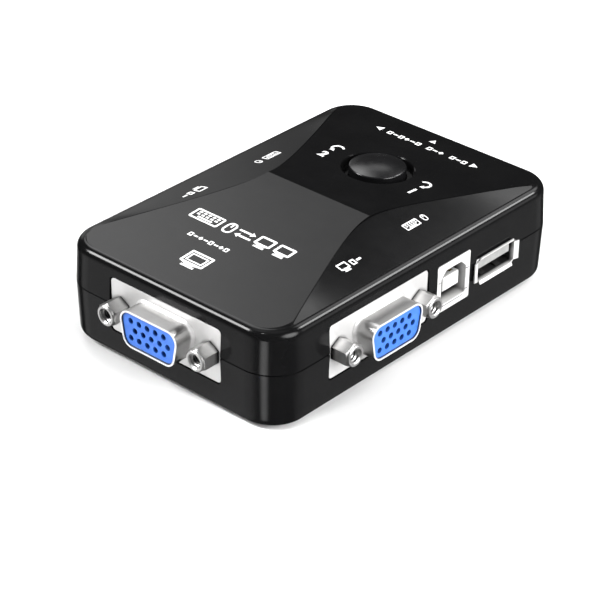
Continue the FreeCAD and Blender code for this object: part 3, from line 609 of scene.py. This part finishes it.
def printed(curve, x, y, turn, surface, ink, half_t=INK_HALF_T):
    """Lay a flat mark on a surface at a place in the case frame, turned anticlockwise by degrees."""
    curve.dimensions = "2D"
    curve.fill_mode = "BOTH"
    curve.extrude = half_t
    source = bpy.data.objects.new(curve.name, curve)
    mesh = bpy.data.meshes.new_from_object(source)
    bpy.data.objects.remove(source)
    place = Matrix.Translation((x, y, 0)) @ Matrix.Rotation(math.radians(turn), 4, "Z")
    for vertex in mesh.vertices:
        spot = place @ vertex.co
        spot.x = spot.x * MM
        spot.y = spot.y * MM + CASE_Y
        spot.z = surface(spot.x, spot.y) + vertex.co.z * MM
        vertex.co = spot
    add_piece(curve.name, mesh, ink)


def add_piece(name, mesh, material):
    mesh.materials.clear()
    mesh.materials.append(material)
    piece = bpy.data.objects.new(name, mesh)
    bpy.context.scene.collection.objects.link(piece)
    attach(piece, "case")


def add_prints(ink):
    """Marks on the roof: at the ports, beside the button, along the rear, and the large row in front."""
    roof = roof_caster()
    title = (keyboard(-11.0, 0, 7.9) + mouse(-4.6, 0, 3.9) + double_arrow(-0.3, 0, 4.4)
             + small_monitor(4.9, 0.1, 4.3) + small_monitor(10.2, 0.1, 4.3))
    prints = [("print_title", title, -0.6, -21.0, 0),
              ("print_steps", sign_row(0, 0, 1.5, "sbdbsbds"), -5.0, -27.6, 0),
              ("print_console", monitor(0, 0, 6.2), -2.2, -34.4, 0),
              ("print_rear_line", sign_row(0, 0, 1.7, "sbsdbs sbd sbs"), 0.3, 36.5, 0),
              ("print_rear_middle", triangle(0, 0, 1.0, 90), -0.6, 39.9, 0)]
    for side, word in ((1, "right"), (-1, "left")):
        screen = small_monitor(-2.0, 0, 2.7) + sign_row(1.6, 0, 1.8, "sb")
        keys = keyboard(-1.5, 0, 4.4) + mouse(2.6, 0, 2.0)
        around = turning_arrow(0, 0, 1.3, 90 + side * 60, 90 - side * 150)
        rear_arrow = triangle(0, 0, 1.15, 90 - side * 90)
        prints.append(("print_rear_arrow_" + word, rear_arrow, side * 13.2, 36.7, 0))
        prints.append(("print_screen_" + word, screen, side * 22.0, -14.5, side * 90))
        prints.append(("print_keys_" + word, keys, side * 21.0, 7.5, side * 90))
        prints.append(("print_turn_" + word, around, side * 12.3, 21.0, 0))
    for name, contours, x, y, turn in prints:
        printed(outline_curve(name, contours), x, y, turn, roof, ink)
    for side, word, digit in ((1, "right", 1), (-1, "left", 2)):
        printed(numeral_curve("print_number_" + word, digit, 2.6), side * 12.5, 16.4, 0, roof, ink)


# ---- label in the recess of the underside ----

LABEL_W = 29.4
LABEL_L = 43.4
LABEL_HALF_T = 0.09
LABEL_Z = 0.96         # middle of the label's thickness


def add_label(paper, ink):
    """Label without words: a border, a few bars and two round marks."""
    plate = [rounded(0, 0, LABEL_W, LABEL_L, 1.5)]
    printed(outline_curve("label_plate", plate), 0, 0, 0, lambda x, y: LABEL_Z * MM, paper, LABEL_HALF_T)
    marks = frame_line(0, 0, LABEL_W - 2.0, LABEL_L - 2.0, 1.0, 0.35)
    for row, width in enumerate((19, 22, 16, 21, 12)):
        marks.append(bar(0, 14.0 - 3.2 * row, width, 0.9))
    marks += frame_line(-5.5, -10.5, 7.0, 7.0, 3.4, 0.5) + frame_line(5.5, -10.5, 7.0, 7.0, 3.4, 0.5)
    printed(outline_curve("label_marks", marks), 0, 0, 0, lambda x, y: (LABEL_Z - LABEL_HALF_T) * MM, ink)


# ---- screw threads in the jack posts ----

THREAD_ROOT_R = 1.45
THREAD_CREST_R = 1.18
THREAD_PITCH = 0.635
THREAD_START = 0.55    # first turn, behind the post's end
THREAD_TURNS = 5.5
THREAD_STEPS = 28      # steps in a turn


def thread_ridge(mesh, end, out, across):
    """Add one helical ridge that runs from a post's end into its bore."""
    up = out.cross(across)
    count = int(THREAD_TURNS * THREAD_STEPS)
    rings = []
    for i in range(count + 1):
        angle = math.tau * i / THREAD_STEPS
        radial = across * math.cos(angle) + up * math.sin(angle)
        fade = min(1.0, 4 * i / THREAD_STEPS, 4 * (count - i) / THREAD_STEPS)
        crest = THREAD_ROOT_R + (THREAD_CREST_R - THREAD_ROOT_R) * max(fade, 0.05)
        depth = THREAD_START + THREAD_PITCH * i / THREAD_STEPS
        half = 0.45 * THREAD_PITCH
        ring = []
        for radius, at in ((THREAD_ROOT_R, depth - half), (crest, depth), (THREAD_ROOT_R, depth + half)):
            ring.append(mesh.verts.new(end + radial * radius * MM - out * at * MM))
        rings.append(ring)
    for near, far in zip(rings, rings[1:]):
        for i in range(3):
            mesh.faces.new((near[i], near[(i + 1) % 3], far[(i + 1) % 3], far[i]))
    mesh.faces.new(rings[0])
    mesh.faces.new(rings[-1])


def add_threads(metal):
    for mount in frame["record"]["mounts"]:
        if mount["kind"] != "bolt_pattern":
            continue
        out = Vector(mount["axis"])
        across = Vector((0, 0, 1)).cross(out)
        low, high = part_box(mount["name"])
        middle = Vector(mount["pos_m"])
        middle += out * (max(low.dot(out), high.dot(out)) - middle.dot(out))
        mesh = bmesh.new()
        for side in (1, -1):
            end = middle + across * side * mount["dims"]["spacing_x_mm"] / 2 * MM
            thread_ridge(mesh, end, out, across)
        bmesh.ops.recalc_face_normals(mesh, faces=mesh.faces)
        data = bpy.data.meshes.new(mount["name"] + "_thread")
        mesh.to_mesh(data)
        mesh.free()
        add_piece(data.name, data, metal)


# ---- build ----

bpy.context.scene.view_settings.view_transform = "Standard"
add_camera()
add_world()
add_pool()
add_floor()
materials = dress_nodes()
shorten_spring()
ink = white_ink()
add_prints(ink)
add_label(materials["can_aluminium"], materials["chip_plastic"])
add_threads(materials["post_nickel"])
